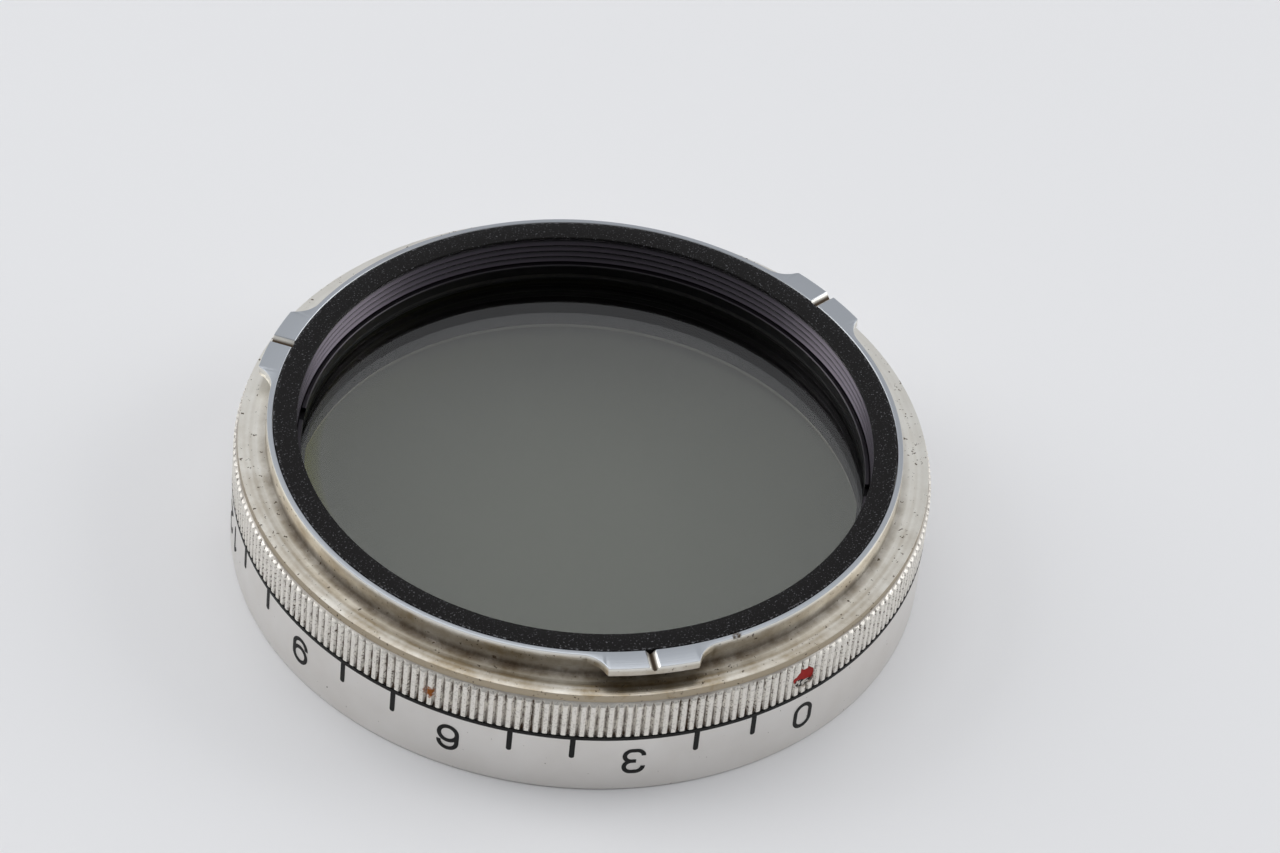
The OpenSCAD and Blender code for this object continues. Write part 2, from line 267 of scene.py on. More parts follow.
def toward(tree, mm, direction, low, high):
    """How far a place lies on one side of the ring: low opposite the direction, high at it."""
    turn = math.radians(direction)
    flat = add(tree, "ShaderNodeVectorMath", {0: mm, 1: (1, 1, 0)}, operation="MULTIPLY")
    unit = add(tree, "ShaderNodeVectorMath", {0: flat.outputs[0]}, operation="NORMALIZE")
    side = add(tree, "ShaderNodeVectorMath", {0: unit.outputs[0], 1: (math.cos(turn), math.sin(turn), 0)},
               operation="DOT_PRODUCT").outputs["Value"]
    return add(tree, "ShaderNodeMapRange", {0: side, 1: -0.1, 2: 0.85, 3: low, 4: high}).outputs[0]


def satin_aluminium():
    """Turned aluminium, matted by handling: a soft broad sheen with faint lines round the ring."""
    material, tree = new_material("satin_turned_aluminium")
    at = place(tree)
    lines = turning_lines(tree, at, 0.12)
    cloud = add(tree, "ShaderNodeTexNoise", {"Vector": at[0], "Scale": 0.25, "Detail": 3.0})
    rough = add(tree, "ShaderNodeMapRange", {0: cloud, 1: 0.3, 2: 0.7, 3: 0.36, 4: 0.5})
    tone = add(tree, "ShaderNodeMix",
               {"Factor": cloud, "A": linear("#e9e7e4"), "B": linear("#dedad5")}, data_type="RGBA")
    spots = specks(tree, at[0], 0.35, 0.24, 1)
    colour = add(tree, "ShaderNodeMix",
                 {"Factor": spots, "A": tone, "B": linear("#6f6659")}, data_type="RGBA")
    bump = add(tree, "ShaderNodeBump", {"Strength": 0.12, "Distance": 0.00002, "Height": lines})
    put_out(tree, add(tree, "ShaderNodeBsdfPrincipled",
                      {"Base Color": colour, "Metallic": 1.0, "Roughness": rough, "Normal": bump}))
    return material


def grip_aluminium():
    """Knurled aluminium: bright worn crests, with brown dirt and painted shade in the valleys, darkest at their
    lower ends, and one rust spot.
    """
    material, tree = new_material("knurled_aluminium_dirt_and_shade")
    at = place(tree)
    mm, radius, height = at
    cloud = add(tree, "ShaderNodeTexNoise", {"Vector": mm, "Scale": 0.8, "Detail": 4.0, "Roughness": 0.7})
    # Dirt and painted shade: the valleys, below a ragged radius, are painted dark brown, and more so near the
    # lower ends of the teeth.
    reach = add(tree, "ShaderNodeMapRange", {0: cloud, 1: 0.3, 2: 0.7, 3: VALLEY_R - 0.02, 4: VALLEY_R + 0.1})
    ends = add(tree, "ShaderNodeMath", {0: height, 1: GRIP_Z + 0.3}, operation="SUBTRACT")
    ends = add(tree, "ShaderNodeMapRange", {0: ends, 1: -0.2, 2: 0.25, 3: 0.07, 4: 0.0})
    reach = add(tree, "ShaderNodeMath", {0: reach, 1: ends}, operation="ADD")
    depth = add(tree, "ShaderNodeMath", {0: reach, 1: radius}, operation="SUBTRACT")
    valley_dirt_and_shade = add(tree, "ShaderNodeMapRange", {0: depth, 1: -0.02, 2: 0.05, 3: 0.0, 4: 1.0})
    bits = specks(tree, mm, 0.16, 0.42, 2)
    low = add(tree, "ShaderNodeMapRange", {0: radius, 1: VALLEY_R + 0.1, 2: VALLEY_R + 0.17, 3: 1.0, 4: 0.25})
    bits = add(tree, "ShaderNodeMath", {0: bits, 1: low}, operation="MULTIPLY")
    dirt_and_shade = add(tree, "ShaderNodeMath", {0: valley_dirt_and_shade, 1: bits}, operation="MAXIMUM")
    teeth = add(tree, "ShaderNodeMapRange", {0: height, 1: EDGE_Z - 0.24, 2: EDGE_Z - 0.2, 3: 1.0, 4: 0.6})
    dirt_and_shade = add(tree, "ShaderNodeMath", {0: dirt_and_shade, 1: teeth}, operation="MULTIPLY")
    patchy = add(tree, "ShaderNodeTexNoise", {"Vector": mm, "Scale": 0.35, "Detail": 2.0})
    patchy = add(tree, "ShaderNodeMapRange", {0: patchy, 1: 0.35, 2: 0.6, 3: 0.55, 4: 1.0})
    dirt_and_shade = add(tree, "ShaderNodeMath", {0: dirt_and_shade, 1: patchy}, operation="MULTIPLY")
    colour = add(tree, "ShaderNodeMix",
                 {"Factor": dirt_and_shade, "A": linear("#f0ece4"), "B": linear("#513f30")}, data_type="RGBA")
    rust = blob(tree, mm, -153, OUTER_R, 6.15, 0.42)
    colour = add(tree, "ShaderNodeMix",
                 {"Factor": rust, "A": colour, "B": linear("#9a5a26")}, data_type="RGBA")
    dull = add(tree, "ShaderNodeMath", {0: dirt_and_shade, 1: rust}, operation="MAXIMUM")
    rough = add(tree, "ShaderNodeMapRange", {0: dull, 1: 0.0, 2: 1.0, 3: 0.45, 4: 0.85})
    metal = add(tree, "ShaderNodeMapRange", {0: dull, 1: 0.0, 2: 1.0, 3: 1.0, 4: 0.0})
    put_out(tree, add(tree, "ShaderNodeBsdfPrincipled",
                      {"Base Color": colour, "Metallic": metal, "Roughness": rough, "Specular IOR Level": 0.2}))
    return material


def flange_aluminium():
    """Turned aluminium that has yellowed: a brown stain, painted heavier as shade on the side that faces the
    camera and on the flange's outer wall, with dirt and painted shade in the root of the collar and in the
    sighting notches. The turned faces spread their shine across the lines."""
    material, tree = new_material("turned_aluminium_stain_and_shade")
    at = place(tree)
    mm, radius, height = at
    lines = turning_lines(tree, at, 0.1)
    cloud = add(tree, "ShaderNodeTexNoise", {"Vector": mm, "Scale": 0.5, "Detail": 5.0, "Roughness": 0.65})
    ring = add(tree, "ShaderNodeTexNoise", {"W": radius, "Scale": 2.2, "Detail": 2.0}, noise_dimensions="1D")
    both = add(tree, "ShaderNodeMix", {"Factor": 0.4, "A": cloud.outputs[0], "B": ring.outputs[0]})
    film = add(tree, "ShaderNodeMapRange", {0: both, 1: 0.35, 2: 0.62, 3: 0.25, 4: 0.85})
    # Painted shade: this mask is highest on the side that faces the camera, and paints the brown stain and the
    # root darkening heavier there.
    side = toward(tree, mm, -133, 0.25, 1.0)
    below = add(tree, "ShaderNodeMapRange", {0: height, 1: TOP - 0.35, 2: TOP - 0.1, 3: 1.0, 4: 0.0})
    film = add(tree, "ShaderNodeMath", {0: film, 1: below}, operation="MULTIPLY")
    film = add(tree, "ShaderNodeMath", {0: film, 1: side}, operation="MULTIPLY")
    # Painted shade: the flange's outer wall is painted three quarters of the way to brown, all round.
    wall = add(tree, "ShaderNodeMapRange", {0: radius, 1: FLANGE_R - 0.03, 2: FLANGE_R - 0.01, 3: 0.0, 4: 0.75})
    film = add(tree, "ShaderNodeMath", {0: film, 1: wall}, operation="MAXIMUM")
    metal = add(tree, "ShaderNodeMix",
                {"Factor": film, "A": linear("#efede6"), "B": linear("#8b7650")}, data_type="RGBA")
    top = add(tree, "ShaderNodeMapRange", {0: height, 1: TOP - 0.07, 2: TOP - 0.02, 3: 0.0, 4: 1.0})
    metal = add(tree, "ShaderNodeMix", {"Factor": top, "A": metal, "B": linear("#b3b7bc")}, data_type="RGBA")
    # Dirt and painted shade: dark brown is painted in the root of the collar, strongest on the side that faces
    # the camera.
    near = add(tree, "ShaderNodeMath", {0: radius, 1: COLLAR_R}, operation="SUBTRACT")
    near = add(tree, "ShaderNodeMapRange", {0: near, 1: 0.15, 2: 0.7, 3: 1.0, 4: 0.0})
    floor = add(tree, "ShaderNodeMapRange", {0: height, 1: FLANGE_Z + 0.2, 2: FLANGE_Z + 0.8, 3: 1.0, 4: 0.0})
    root = add(tree, "ShaderNodeMath", {0: near, 1: floor}, operation="MULTIPLY")
    root = add(tree, "ShaderNodeMath", {0: root, 1: side}, operation="MULTIPLY")
    root = add(tree, "ShaderNodeMath", {0: root, 1: cloud}, operation="MULTIPLY")
    root = add(tree, "ShaderNodeMath", {0: root, 1: 1.5}, operation="MULTIPLY", use_clamp=True)
    spots = specks(tree, mm, 0.3, 0.32, 3)
    spots = add(tree, "ShaderNodeMath", {0: spots, 1: below}, operation="MULTIPLY")
    # Dirt and painted shade: the sloped faces of the sighting notches, just under the top, are painted dark
    # brown.
    up = add(tree, "ShaderNodeNewGeometry").outputs["Normal"]
    up = add(tree, "ShaderNodeSeparateXYZ", {0: up}).outputs[2]
    slant = add(tree, "ShaderNodeMapRange", {0: up, 1: 0.3, 2: 0.5, 3: 0.0, 4: 1.0})
    cut = add(tree, "ShaderNodeMapRange", {0: height, 1: TOP - 0.3, 2: TOP - 0.12, 3: 1.0, 4: 0.0})
    above = add(tree, "ShaderNodeMapRange", {0: height, 1: TOP - 0.6, 2: TOP - 0.5, 3: 0.0, 4: 1.0})
    notch = add(tree, "ShaderNodeMath", {0: slant, 1: cut}, operation="MULTIPLY")
    notch = add(tree, "ShaderNodeMath", {0: notch, 1: above}, operation="MULTIPLY")
    nick = blob(tree, mm, -101, COLLAR_R - 0.1, TOP, 0.22)
    # Dirt specks and the nick, together with the dirt and painted shade at the collar's root and in the notches.
    dirt_and_shade = add(tree, "ShaderNodeMath", {0: root, 1: spots}, operation="MAXIMUM")
    dirt_and_shade = add(tree, "ShaderNodeMath", {0: dirt_and_shade, 1: notch}, operation="MAXIMUM")
    dirt_and_shade = add(tree, "ShaderNodeMath", {0: dirt_and_shade, 1: nick}, operation="MAXIMUM")
    colour = add(tree, "ShaderNodeMix",
                 {"Factor": dirt_and_shade, "A": metal, "B": linear("#4c3d2c")}, data_type="RGBA")
    rough = add(tree, "ShaderNodeMapRange", {0: dirt_and_shade, 1: 0.0, 2: 1.0, 3: 0.36, 4: 0.8})
    shine = add(tree, "ShaderNodeMapRange", {0: dirt_and_shade, 1: 0.0, 2: 1.0, 3: 1.0, 4: 0.1})
    bump = add(tree, "ShaderNodeBump", {"Strength": 0.2, "Distance": 0.00003, "Height": lines})
    around = add(tree, "ShaderNodeTangent", direction_type="RADIAL", axis="Z")
    put_out(tree, add(tree, "ShaderNodeBsdfPrincipled",
                      {"Base Color": colour, "Metallic": shine, "Roughness": rough, "Normal": bump,
                       "Anisotropic": 0.55, "Tangent": around}))
    return material


def black_anodised():
    """Matt black anodised aluminium, with pale pin marks and a faint violet sheen in the thread; the throat's
    inner wall is painted a darker black as painted shade.
    """
    material, tree = new_material("black_anodised_aluminium")
    at = place(tree)
    mm, radius, height = at
    marks = specks(tree, mm, 0.12, 0.34, 4)
    chips = specks(tree, mm, 0.2, 0.42, 7)
    rim = add(tree, "ShaderNodeMapRange",
              {0: radius, 1: CELL_FLANGE_R - 0.16, 2: CELL_FLANGE_R - 0.08, 3: 0.0, 4: 1.0})
    chips = add(tree, "ShaderNodeMath", {0: chips, 1: rim}, operation="MULTIPLY")
    marks = add(tree, "ShaderNodeMath", {0: marks, 1: chips}, operation="MAXIMUM")
    inside = add(tree, "ShaderNodeMapRange", {0: radius, 1: THROAT_R + 0.1, 2: THROAT_R + 0.3, 3: 1.0, 4: 0.0})
    foot = THREAD_TOP - THREAD_TURNS * THREAD_PITCH
    low = add(tree, "ShaderNodeMapRange", {0: height, 1: TOP - 0.2, 2: TOP - 0.1, 3: 1.0, 4: 0.0})
    inside = add(tree, "ShaderNodeMath", {0: inside, 1: low}, operation="MULTIPLY")
    threaded = add(tree, "ShaderNodeMapRange", {0: height, 1: foot - 0.16, 2: foot + 0.04, 3: 0.0, 4: 1.0})
    threaded = add(tree, "ShaderNodeMath", {0: inside, 1: threaded}, operation="MULTIPLY")
    outside = add(tree, "ShaderNodeMath", {0: 1.0, 1: inside}, operation="SUBTRACT")
    marks = add(tree, "ShaderNodeMath", {0: marks, 1: outside}, operation="MULTIPLY")
    # Painted shade: the throat's inner wall gets a darker black than the outside.
    black_with_throat_shade = add(tree, "ShaderNodeMix",
               {"Factor": inside, "A": linear("#0d0b0b"), "B": linear("#060507")}, data_type="RGBA")
    colour = add(tree, "ShaderNodeMix",
                 {"Factor": marks, "A": black_with_throat_shade, "B": linear("#626265")}, data_type="RGBA")
    rough = add(tree, "ShaderNodeMapRange", {0: threaded, 1: 0.0, 2: 1.0, 3: 0.45, 4: 0.3})
    sheen = add(tree, "ShaderNodeMapRange", {0: threaded, 1: 0.0, 2: 1.0, 3: 0.14, 4: 1.0})
    tint = add(tree, "ShaderNodeMix",
               {"Factor": threaded, "A": linear("#ffffff"), "B": linear("#f4e6fa")}, data_type="RGBA")
    lines = turning_lines(tree, at, 0.08)
    bump = add(tree, "ShaderNodeBump", {"Strength": 0.2, "Distance": 0.00002, "Height": lines})
    put_out(tree, add(tree, "ShaderNodeBsdfPrincipled",
                      {"Base Color": colour, "Metallic": 0.0, "Roughness": rough, "Specular IOR Level": sheen,
                       "Specular Tint": tint, "Normal": bump}))
    return material


def black_enamel():
    """Black enamel rubbed in the engraving."""
    material, tree = new_material("black_engraving_enamel")
    at = place(tree)
    cloud = add(tree, "ShaderNodeTexNoise", {"Vector": at[0], "Scale": 6.0, "Detail": 2.0})
    colour = add(tree, "ShaderNodeMix",
                 {"Factor": cloud, "A": linear("#0b0b0b"), "B": linear("#1b1917")}, data_type="RGBA")
    put_out(tree, add(tree, "ShaderNodeBsdfPrincipled",
                      {"Base Color": colour, "Roughness": 0.6, "Specular IOR Level": 0.3}))
    return material


def red_enamel():
    """Red enamel, chipped at its lower edge down to bare metal."""
    material, tree = new_material("chipped_red_enamel")
    mm, _, height = place(tree)
    cloud = add(tree, "ShaderNodeTexNoise", {"Vector": mm, "Scale": 2.0, "Detail": 3.0})
    colour = add(tree, "ShaderNodeMix",
                 {"Factor": cloud, "A": linear("#b01c15"), "B": linear("#86140f")}, data_type="RGBA")
    ragged = add(tree, "ShaderNodeTexNoise", {"Vector": mm, "Scale": 1.6, "Detail": 4.0})
    edge = add(tree, "ShaderNodeMath", {0: height, 1: ragged}, operation="ADD")
    chipped = add(tree, "ShaderNodeMapRange",
                  {0: edge, 1: DOT_Z + 0.12, 2: DOT_Z + 0.18, 3: 1.0, 4: 0.0})
    bare = add(tree, "ShaderNodeMix",
               {"Factor": specks(tree, mm, 0.25, 0.5, 6), "A": linear("#cfcac2"), "B": linear("#1c1613")},
               data_type="RGBA")
    colour = add(tree, "ShaderNodeMix", {"Factor": chipped, "A": colour, "B": bare}, data_type="RGBA")
    put_out(tree, add(tree, "ShaderNodeBsdfPrincipled",
                      {"Base Color": colour, "Roughness": 0.5, "Specular IOR Level": 0.15}))
    return material


def clear_glass():
    """Polished optical glass. It lets lamps through, so that what lies under it is lit."""
    material, tree = new_material("polished_optical_glass")
    glass = add(tree, "ShaderNodeBsdfPrincipled",
                {"Base Color": linear("#ffffff"), "Roughness": 0.0, "IOR": 1.52, "Transmission Weight": 1.0})
    clear = add(tree, "ShaderNodeBsdfTransparent", {"Color": linear("#f4f6f4")})
    path = add(tree, "ShaderNodeLightPath")
    unseen = add(tree, "ShaderNodeMath", {0: path.outputs["Is Shadow Ray"], 1: path.outputs["Is Diffuse Ray"]},
                 operation="MAXIMUM")
    put_out(tree, add(tree, "ShaderNodeMixShader", {0: unseen, 1: glass, 2: clear}))
    return material


def polarising_plastic():
    """Stretched polarising film: neutral grey, with cement that has yellowed at one edge."""
    material, tree = new_material("polarising_film_grey")
    mm, radius, _ = place(tree)
    rim = add(tree, "ShaderNodeMapRange", {0: radius, 1: 17.6, 2: FILM_R - 0.2, 3: 0.0, 4: 1.0})
    side = toward(tree, mm, 130, 0.0, 1.0)
    aged = add(tree, "ShaderNodeMath", {0: rim, 1: side}, operation="MULTIPLY")
    colour = add(tree, "ShaderNodeMix",
                 {"Factor": aged, "A": linear("#dbdbd8"), "B": linear("#cfcf8c")}, data_type="RGBA")
    put_out(tree, add(tree, "ShaderNodeBsdfTransparent", {"Color": colour}))
    return material


def spring_bronze():
    """Phosphor bronze strip, a little tarnished."""
    material, tree = new_material("phosphor_bronze_spring")
    at = place(tree)
    cloud = add(tree, "ShaderNodeTexNoise", {"Vector": at[0], "Scale": 1.5, "Detail": 3.0})
    colour = add(tree, "ShaderNodeMix",
                 {"Factor": cloud, "A": linear("#b98a52"), "B": linear("#8f6a41")}, data_type="RGBA")
    put_out(tree, add(tree, "ShaderNodeBsdfPrincipled",
                      {"Base Color": colour, "Metallic": 1.0, "Roughness": 0.35}))
    return material


SATIN = satin_aluminium()
GRIP = grip_aluminium()
FLANGE_STAIN_AND_SHADE = flange_aluminium()
BLACK = black_anodised()
ENAMEL = black_enamel()
RED = red_enamel()
GLASS = clear_glass()
FILM = polarising_plastic()
SPRING = spring_bronze()


# ---- Bayonet ring ----

def lug_profile():
    """(degrees from a lug's centre, radius) from the centre to the collar, for one side."""
    centre = COLLAR_R + LUG_CORNER
    cosine = (centre ** 2 + LUG_R ** 2 - LUG_CORNER ** 2) / (2 * centre * LUG_R)
    turn = LUG_HALF + math.degrees(math.acos(cosine))
    low = math.asin((centre - LUG_R * cosine) / LUG_CORNER)
    side = []
    for k in range(15):
        b = low + (math.pi / 2 - low) * k / 14
        x, y = centre - LUG_CORNER * math.sin(b), -LUG_CORNER * math.cos(b)
        side.append((turn + math.degrees(math.atan2(y, x)), math.hypot(x, y)))
    flat = [(a, LUG_R) for a in (1.6, 2.5, 3.5, 4.5, 5.5, 6.5, 7.2)]
    flat += [(LUG_HALF - 0.2, LUG_R), (LUG_HALF - 0.06, LUG_R - 0.03)]
    side[0] = (LUG_HALF + 0.02, LUG_R - 0.09)
    return flat + side


def bayonet_columns():
    """Directions round the ring, closer together on the lugs and in their notches."""
    profile = lug_profile()
    reach = profile[-1][0]
    columns = []
    for lug in LUG_ANGLES:
        for a, r in reversed(profile):
            columns.append((lug - a, 0.0, r, 0.0))
        for k in range(-6, 7):
            s = k / 6 * NOTCH_W / 2
            columns.append((lug, s, LUG_R, NOTCH_DEPTH * (1 - abs(k) / 6)))
        for a, r in profile:
            columns.append((lug + a, 0.0, r, 0.0))
        gap = 120 - 2 * reach
        for k in range(1, 112):
            columns.append((lug + reach + gap * k / 112, 0.0, COLLAR_R, 0.0))
    return columns


def bayonet_section(reach, notch):
    e, root, lip = 0.09, 0.22, 0.04
    s = math.sqrt(0.5)
    under = TOP - LUG_T
    return [(BORE_R, EDGE_Z), (FLANGE_R, EDGE_Z),
            (FLANGE_R, FLANGE_Z - e), (FLANGE_R - e * (1 - s), FLANGE_Z - e * (1 - s)),
            (FLANGE_R - e, FLANGE_Z),
            (COLLAR_R + 0.9, FLANGE_Z),
            (COLLAR_R + root, FLANGE_Z), (COLLAR_R + root * (1 - s), FLANGE_Z + root * (1 - s)),
            (COLLAR_R, FLANGE_Z + root),
            (COLLAR_R, under), (max(COLLAR_R, reach - lip), under), (reach, under + lip),
            (reach, TOP - e - notch), (reach - e * (1 - s), TOP - e * (1 - s) - notch),
            (reach - e, TOP - notch),
            (COUNTERBORE_R + lip, TOP - notch), (COUNTERBORE_R, TOP - lip - notch),
            (COUNTERBORE_R, COUNTERBORE_Z), (BORE_R, COUNTERBORE_Z)]


bayonet = swept("bayonet_ring_turned",
                [(d, s, bayonet_section(r, n)) for d, s, r, n in bayonet_columns()], FLANGE_STAIN_AND_SHADE)


def knurl_tree():
    """A closed knurled band: a grid whose rows are the half section and whose columns go round."""
    tree = bpy.data.node_groups.new("straight_knurl", "GeometryNodeTree")
    face = tree.interface
    face.new_socket("Geometry", in_out="OUTPUT", socket_type="NodeSocketGeometry")
    wanted = (("Teeth", "NodeSocketInt", TEETH), ("Columns per tooth", "NodeSocketInt", 12),
              ("Valley radius", "NodeSocketFloat", VALLEY_R),
              ("Tooth height", "NodeSocketFloat", OUTER_R - VALLEY_R),
              ("Crest share", "NodeSocketFloat", 0.4), ("Valley share", "NodeSocketFloat", 0.03),
              ("Material", "NodeSocketMaterial", None))
    for name, kind, value in wanted:
        socket = face.new_socket(name, in_out="INPUT", socket_type=kind)
        if value is not None:
            socket.default_value = value
    given = add(tree, "NodeGroupInput").outputs
    inner, outer = SPRING_R - SPRING_W / 2, SPRING_R + SPRING_W / 2
    deep = GRIP_Z + SPRING_GROOVE_H
    count = 11
    columns = add(tree, "ShaderNodeMath", {0: given["Teeth"], 1: given["Columns per tooth"]},
                  operation="MULTIPLY")
    sides = add(tree, "ShaderNodeMath", {0: columns, 1: 1.0}, operation="ADD")
    grid = add(tree, "GeometryNodeMeshGrid",
               {"Size X": float(count), "Size Y": 1.0, "Vertices X": count + 1, "Vertices Y": sides})
    spot = add(tree, "ShaderNodeSeparateXYZ", {0: add(tree, "GeometryNodeInputPosition")})
    row = add(tree, "ShaderNodeMath", {0: spot.outputs[0], 1: count / 2}, operation="ADD")
    row = add(tree, "ShaderNodeMath", {0: row, 1: float(count)}, operation="MODULO")
    row = add(tree, "ShaderNodeMath", {0: row}, operation="ROUND")
    turn = add(tree, "ShaderNodeMath", {0: spot.outputs[1], 1: 0.5}, operation="ADD")
    tooth = add(tree, "ShaderNodeMath", {0: turn, 1: given["Teeth"]}, operation="MULTIPLY")
    tooth = add(tree, "ShaderNodeMath", {0: tooth}, operation="FRACT")
    tooth = add(tree, "ShaderNodeMath", {0: tooth, 1: 0.5}, operation="SUBTRACT")
    tooth = add(tree, "ShaderNodeMath", {0: tooth}, operation="ABSOLUTE")
    tooth = add(tree, "ShaderNodeMath", {0: tooth, 1: 2.0}, operation="MULTIPLY")
    floor = add(tree, "ShaderNodeMath", {0: 1.0, 1: given["Valley share"]}, operation="SUBTRACT")
    height = add(tree, "ShaderNodeMapRange",
                 {"Value": tooth, "From Min": given["Crest share"], "From Max": floor,
                  "To Min": 1.0, "To Max": 0.0},
                 interpolation_type="SMOOTHSTEP")
    height = add(tree, "ShaderNodeMath", {0: height, 1: given["Tooth height"]}, operation="MULTIPLY")
    skin = add(tree, "ShaderNodeMath", {0: height, 1: given["Valley radius"]}, operation="ADD")
    skin_in = add(tree, "ShaderNodeMath", {0: skin, 1: 0.04}, operation="SUBTRACT")
    cone = add(tree, "ShaderNodeMath", {0: EDGE_Z + FLANGE_R, 1: skin}, operation="SUBTRACT")
    under_cone = add(tree, "ShaderNodeMath", {0: cone, 1: 0.02}, operation="SUBTRACT")
    radii = [BORE_R, inner, inner, outer, outer, skin_in, skin, skin, skin_in, FLANGE_R, BORE_R]
    heights = [GRIP_Z, GRIP_Z, deep, deep, GRIP_Z, GRIP_Z, GRIP_Z + 0.04, under_cone, None, EDGE_Z, EDGE_Z]
    heights[8] = add(tree, "ShaderNodeMath", {0: EDGE_Z + FLANGE_R, 1: skin_in}, operation="SUBTRACT")
    picked = []
    for values in (radii, heights):
        choice = add(tree, "GeometryNodeIndexSwitch", data_type="FLOAT")
        while len(choice.index_switch_items) < count:
            choice.index_switch_items.new()
        tree.links.new(row.outputs[0], choice.inputs[0])
        for k, value in enumerate(values):
            if isinstance(value, bpy.types.Node):
                tree.links.new(value.outputs[0], choice.inputs[k + 1])
            else:
                choice.inputs[k + 1].default_value = value
        picked.append(choice)
    angle = add(tree, "ShaderNodeMath", {0: turn, 1: 2 * math.pi}, operation="MULTIPLY")
    east = add(tree, "ShaderNodeMath", {0: angle}, operation="COSINE")
    north = add(tree, "ShaderNodeMath", {0: angle}, operation="SINE")
    way = add(tree, "ShaderNodeCombineXYZ", {0: east, 1: north})
    flat = add(tree, "ShaderNodeVectorMath", {0: way, 3: picked[0]}, operation="SCALE")
    up = add(tree, "ShaderNodeCombineXYZ", {2: picked[1]})
    where = add(tree, "ShaderNodeVectorMath", {0: flat.outputs[0], 1: up}, operation="ADD")
    where = add(tree, "ShaderNodeVectorMath", {0: where.outputs[0], 3: MM}, operation="SCALE")
    wrapped = add(tree, "GeometryNodeSetPosition", {"Geometry": grid.outputs[0], "Position": where.outputs[0]})
    joined = add(tree, "GeometryNodeMergeByDistance", {"Geometry": wrapped, "Distance": 1e-7})
    real = add(tree, "GeometryNodeRealizeInstances", {"Geometry": joined})
    coated = add(tree, "GeometryNodeSetMaterial", {"Geometry": real, "Material": given["Material"]})
    add(tree, "NodeGroupOutput", {0: coated})
    return tree


def made_by(tree, name, values, sharp=32):
    """A plain mesh piece from a geometry tree with these named inputs."""
    holder = bpy.data.objects.new(name + "_maker", bpy.data.meshes.new(name + "_maker"))
    bpy.context.scene.collection.objects.link(holder)
    modifier = holder.modifiers.new("maker", "NODES")
    modifier.node_group = tree
    for socket in tree.interface.items_tree:
        if socket.in_out == "INPUT" and socket.name in values:
            modifier[socket.identifier] = values[socket.name]
    graph = bpy.context.evaluated_depsgraph_get()
    mesh = bpy.data.meshes.new_from_object(holder.evaluated_get(graph), depsgraph=graph)
    bpy.data.objects.remove(holder)
    bm = bmesh.new()
    bm.from_mesh(mesh)
    bmesh.ops.recalc_face_normals(bm, faces=bm.faces)
    bm.to_mesh(mesh)
    bm.free()
    mesh.name = name
    mesh.shade_smooth()
    mesh.set_sharp_from_angle(angle=math.radians(sharp))
    made = bpy.data.objects.new(name, mesh)
    bpy.context.scene.collection.objects.link(made)
    return made


def cut_from(piece, cutter):
    """Cuts one closed mesh from another for good."""
    modifier = piece.modifiers.new("cut", "BOOLEAN")
    modifier.operation = "DIFFERENCE"
    modifier.solver = "EXACT"
    modifier.object = cutter
    graph = bpy.context.evaluated_depsgraph_get()
    mesh = bpy.data.meshes.new_from_object(piece.evaluated_get(graph), depsgraph=graph)
    piece.modifiers.remove(modifier)
    piece.data = mesh
    bpy.data.objects.remove(cutter)
    mesh.shade_smooth()
    mesh.set_sharp_from_angle(angle=math.radians(32))


def radial_plug(name, diameter, r0, r1, direction, z, material, sides=40):
    """A round plug set radially in the rim."""
    turn = math.radians(direction)
    out = Vector((math.cos(turn), math.sin(turn), 0))
    along = Vector((-math.sin(turn), math.cos(turn), 0))
    points = []
    for r in (r0, r1):
        for i in range(sides):
            a = 2 * math.pi * i / sides
            p = out * r + along * (diameter / 2 * math.cos(a)) + Vector((0, 0, z + diameter / 2 * math.sin(a)))
            points.append(tuple(p))
    faces = [(i, (i + 1) % sides, sides + (i + 1) % sides, sides + i) for i in range(sides)]
    faces += [tuple(range(sides)), tuple(range(sides, 2 * sides))]
    return mesh_piece(name, points, faces, material)


grip = made_by(knurl_tree(), "knurled_grip", {"Material": GRIP}, sharp=50)
cut_from(grip, radial_plug("dot_cutter", DOT_D, DOT_FLOOR_R, OUTER_R + 1, INDEX_ANGLE, DOT_Z, GRIP))
dot = radial_plug("index_dot_enamel", DOT_D - 0.02, DOT_FLOOR_R, VALLEY_R + 0.02, INDEX_ANGLE, DOT_Z, RED)
spring_section = rounded([(SPRING_R - SPRING_W / 2 + 0.02, GRIP_Z + SPRING_GROOVE_H - SPRING_H),
                          (SPRING_R + SPRING_W / 2 - 0.02, GRIP_Z + SPRING_GROOVE_H - SPRING_H),
                          (SPRING_R + SPRING_W / 2 - 0.02, GRIP_Z + SPRING_GROOVE_H),
                          (SPRING_R - SPRING_W / 2 + 0.02, GRIP_Z + SPRING_GROOVE_H)], 0.06)
spring = swept("friction_spring_wire",
               [(90 + SPRING_SPLIT / 2 + (360 - SPRING_SPLIT) * i / 180, 0, spring_section) for i in range(181)],
               SPRING, closed=False)
for piece in (bayonet, grip, dot, spring):
    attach(piece, "mount")
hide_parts("bayonet_ring")
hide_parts("bayonet_ring")
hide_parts("index_dot")
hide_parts("friction_spring")


# ---- Cell, scale ring and glass ----

def thread_section():
    """The throat's wall, with its thread as rings."""
    root = THROAT_R + THREAD_DEPTH
    points = []
    for i in range(THREAD_TURNS):
        z = THREAD_TOP - i * THREAD_PITCH
        points += [(THROAT_R, z), (root - 0.02, z - 0.2), (root, z - 0.23), (root - 0.02, z - 0.26),
                   (THROAT_R, z - THREAD_PITCH + 0.06)]
    return points


